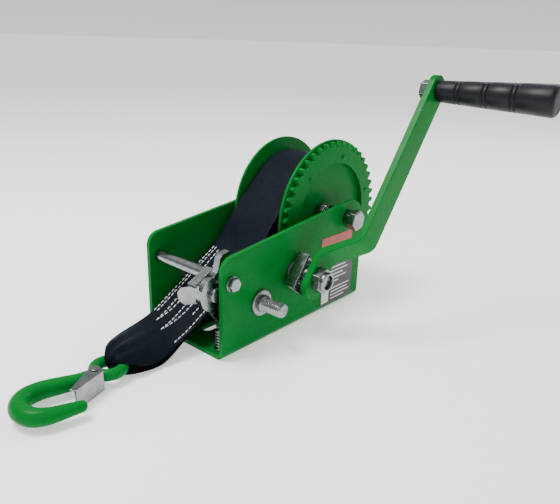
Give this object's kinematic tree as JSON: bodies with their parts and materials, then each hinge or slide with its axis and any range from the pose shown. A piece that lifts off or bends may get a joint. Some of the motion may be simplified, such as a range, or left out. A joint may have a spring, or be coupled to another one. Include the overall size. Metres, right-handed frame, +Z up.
{
  "type": "boat trailer winch",
  "caption": "Two-speed hand winch for a boat trailer: green steel frame, geared strap drum, cranked handle, ratchet pawl, webbing strap and latch hook.",
  "frame": {"origin": "on the mounting face, midway between the two cheeks, at the base's front edge", "axes": "+X towards the crank side, +Y from the strap end to the drum end, +Z up"},
  "size_m": [0.2593, 0.3788, 0.2147],
  "materials": {
    "green_powder_coat": "gloss powder coat",
    "zinc_plate": "bright zinc plate",
    "machined_steel": "machined, lightly oiled",
    "spring_steel": "zinc-plated wire",
    "grip_plastic": "matte moulded",
    "webbing": "woven polyester with a faint sheen",
    "black_plate": "satin film",
    "red_decal": "satin film"
  },
  "bodies": {
    "frame": {"frame": "green_powder_coat", "tie_bar": "zinc_plate", "tie_bolt": "zinc_plate", "tie_bolt_nut": "zinc_plate", "input_bush_right": "machined_steel", "input_bush_left": "machined_steel", "low_bush_right": "machined_steel", "low_bush_left": "machined_steel", "drum_axle_bolt": "zinc_plate", "axle_jam_nut": "zinc_plate", "axle_lock_nut": "zinc_plate", "axle_spacers": "zinc_plate", "spring_anchor": "zinc_plate", "pawl_spring": "spring_steel", "info_plate": "black_plate", "top_decal": "red_decal", "strap_lead": "webbing"},
    "drum": {"drum_left_flange": "green_powder_coat", "drum_core": "green_powder_coat", "drum_gear": "green_powder_coat", "drum_bushes": "machined_steel", "strap_bolt": "zinc_plate", "strap_bolt_nut": "zinc_plate", "strap_coil": "webbing"},
    "crank": {"input_shaft": "zinc_plate", "input_pinion": "machined_steel", "idler_gear": "machined_steel", "input_snap_ring": "machined_steel", "drive_clip": "zinc_plate", "crank_spacer": "zinc_plate", "crank_arm": "green_powder_coat", "crank_lock_nut": "zinc_plate", "grip_bolt": "zinc_plate", "grip_bolt_nut": "zinc_plate"},
    "low_shaft": {"low_shaft": "zinc_plate", "low_pinion": "machined_steel", "low_snap_ring": "machined_steel"},
    "grip": {"grip": "grip_plastic", "grip_end_plug": "grip_plastic"},
    "pawl": {"pawl": "zinc_plate", "pawl_hub": "zinc_plate", "pawl_boss": "zinc_plate"},
    "hook": {"hook": "green_powder_coat", "latch_pin": "zinc_plate"},
    "latch": {"hook_latch": "zinc_plate"}
  },
  "joints": [
    {"name": "crank_spin", "type": "hinge", "parent": "frame", "child": "crank", "pos_m": [0, 0.08461, 0.05296], "axis": [1, 0, 0], "continuous": true},
    {"name": "drum_spin", "type": "hinge", "parent": "frame", "child": "drum", "pos_m": [0, 0.159, 0.085], "axis": [1, 0, 0], "continuous": true},
    {"name": "low_shaft_spin", "type": "hinge", "parent": "frame", "child": "low_shaft", "pos_m": [0, 0.04219, 0.03794], "axis": [1, 0, 0], "continuous": true},
    {"name": "grip_spin", "type": "hinge", "parent": "crank", "child": "grip", "pos_m": [0, 0.19774, 0.20148], "axis": [1, 0, 0], "continuous": true},
    {"name": "pawl_rock", "type": "hinge", "parent": "frame", "child": "pawl", "pos_m": [0, 0.0095, 0.064], "axis": [1, 0, 0], "range_deg": [-8, 8], "deforming": ["pawl_spring"]},
    {"name": "hook_swing", "type": "hinge", "parent": "frame", "child": "hook", "pos_m": [0.0025, -0.0632, 0.0089], "axis": [-1, 0, 0], "range_deg": [0, 70]},
    {"name": "latch_open", "type": "hinge", "parent": "hook", "child": "latch", "pos_m": [0.0086, -0.088, 0.0089], "axis": [0, 0, -1], "range_deg": [0, 32], "stiffness_Nm_per_rad": 0.02}
  ],
  "couplings": [
    {"joint": "drum_spin", "follows": "crank_spin", "ratio": -0.22727},
    {"joint": "low_shaft_spin", "follows": "crank_spin", "ratio": -2}
  ]
}
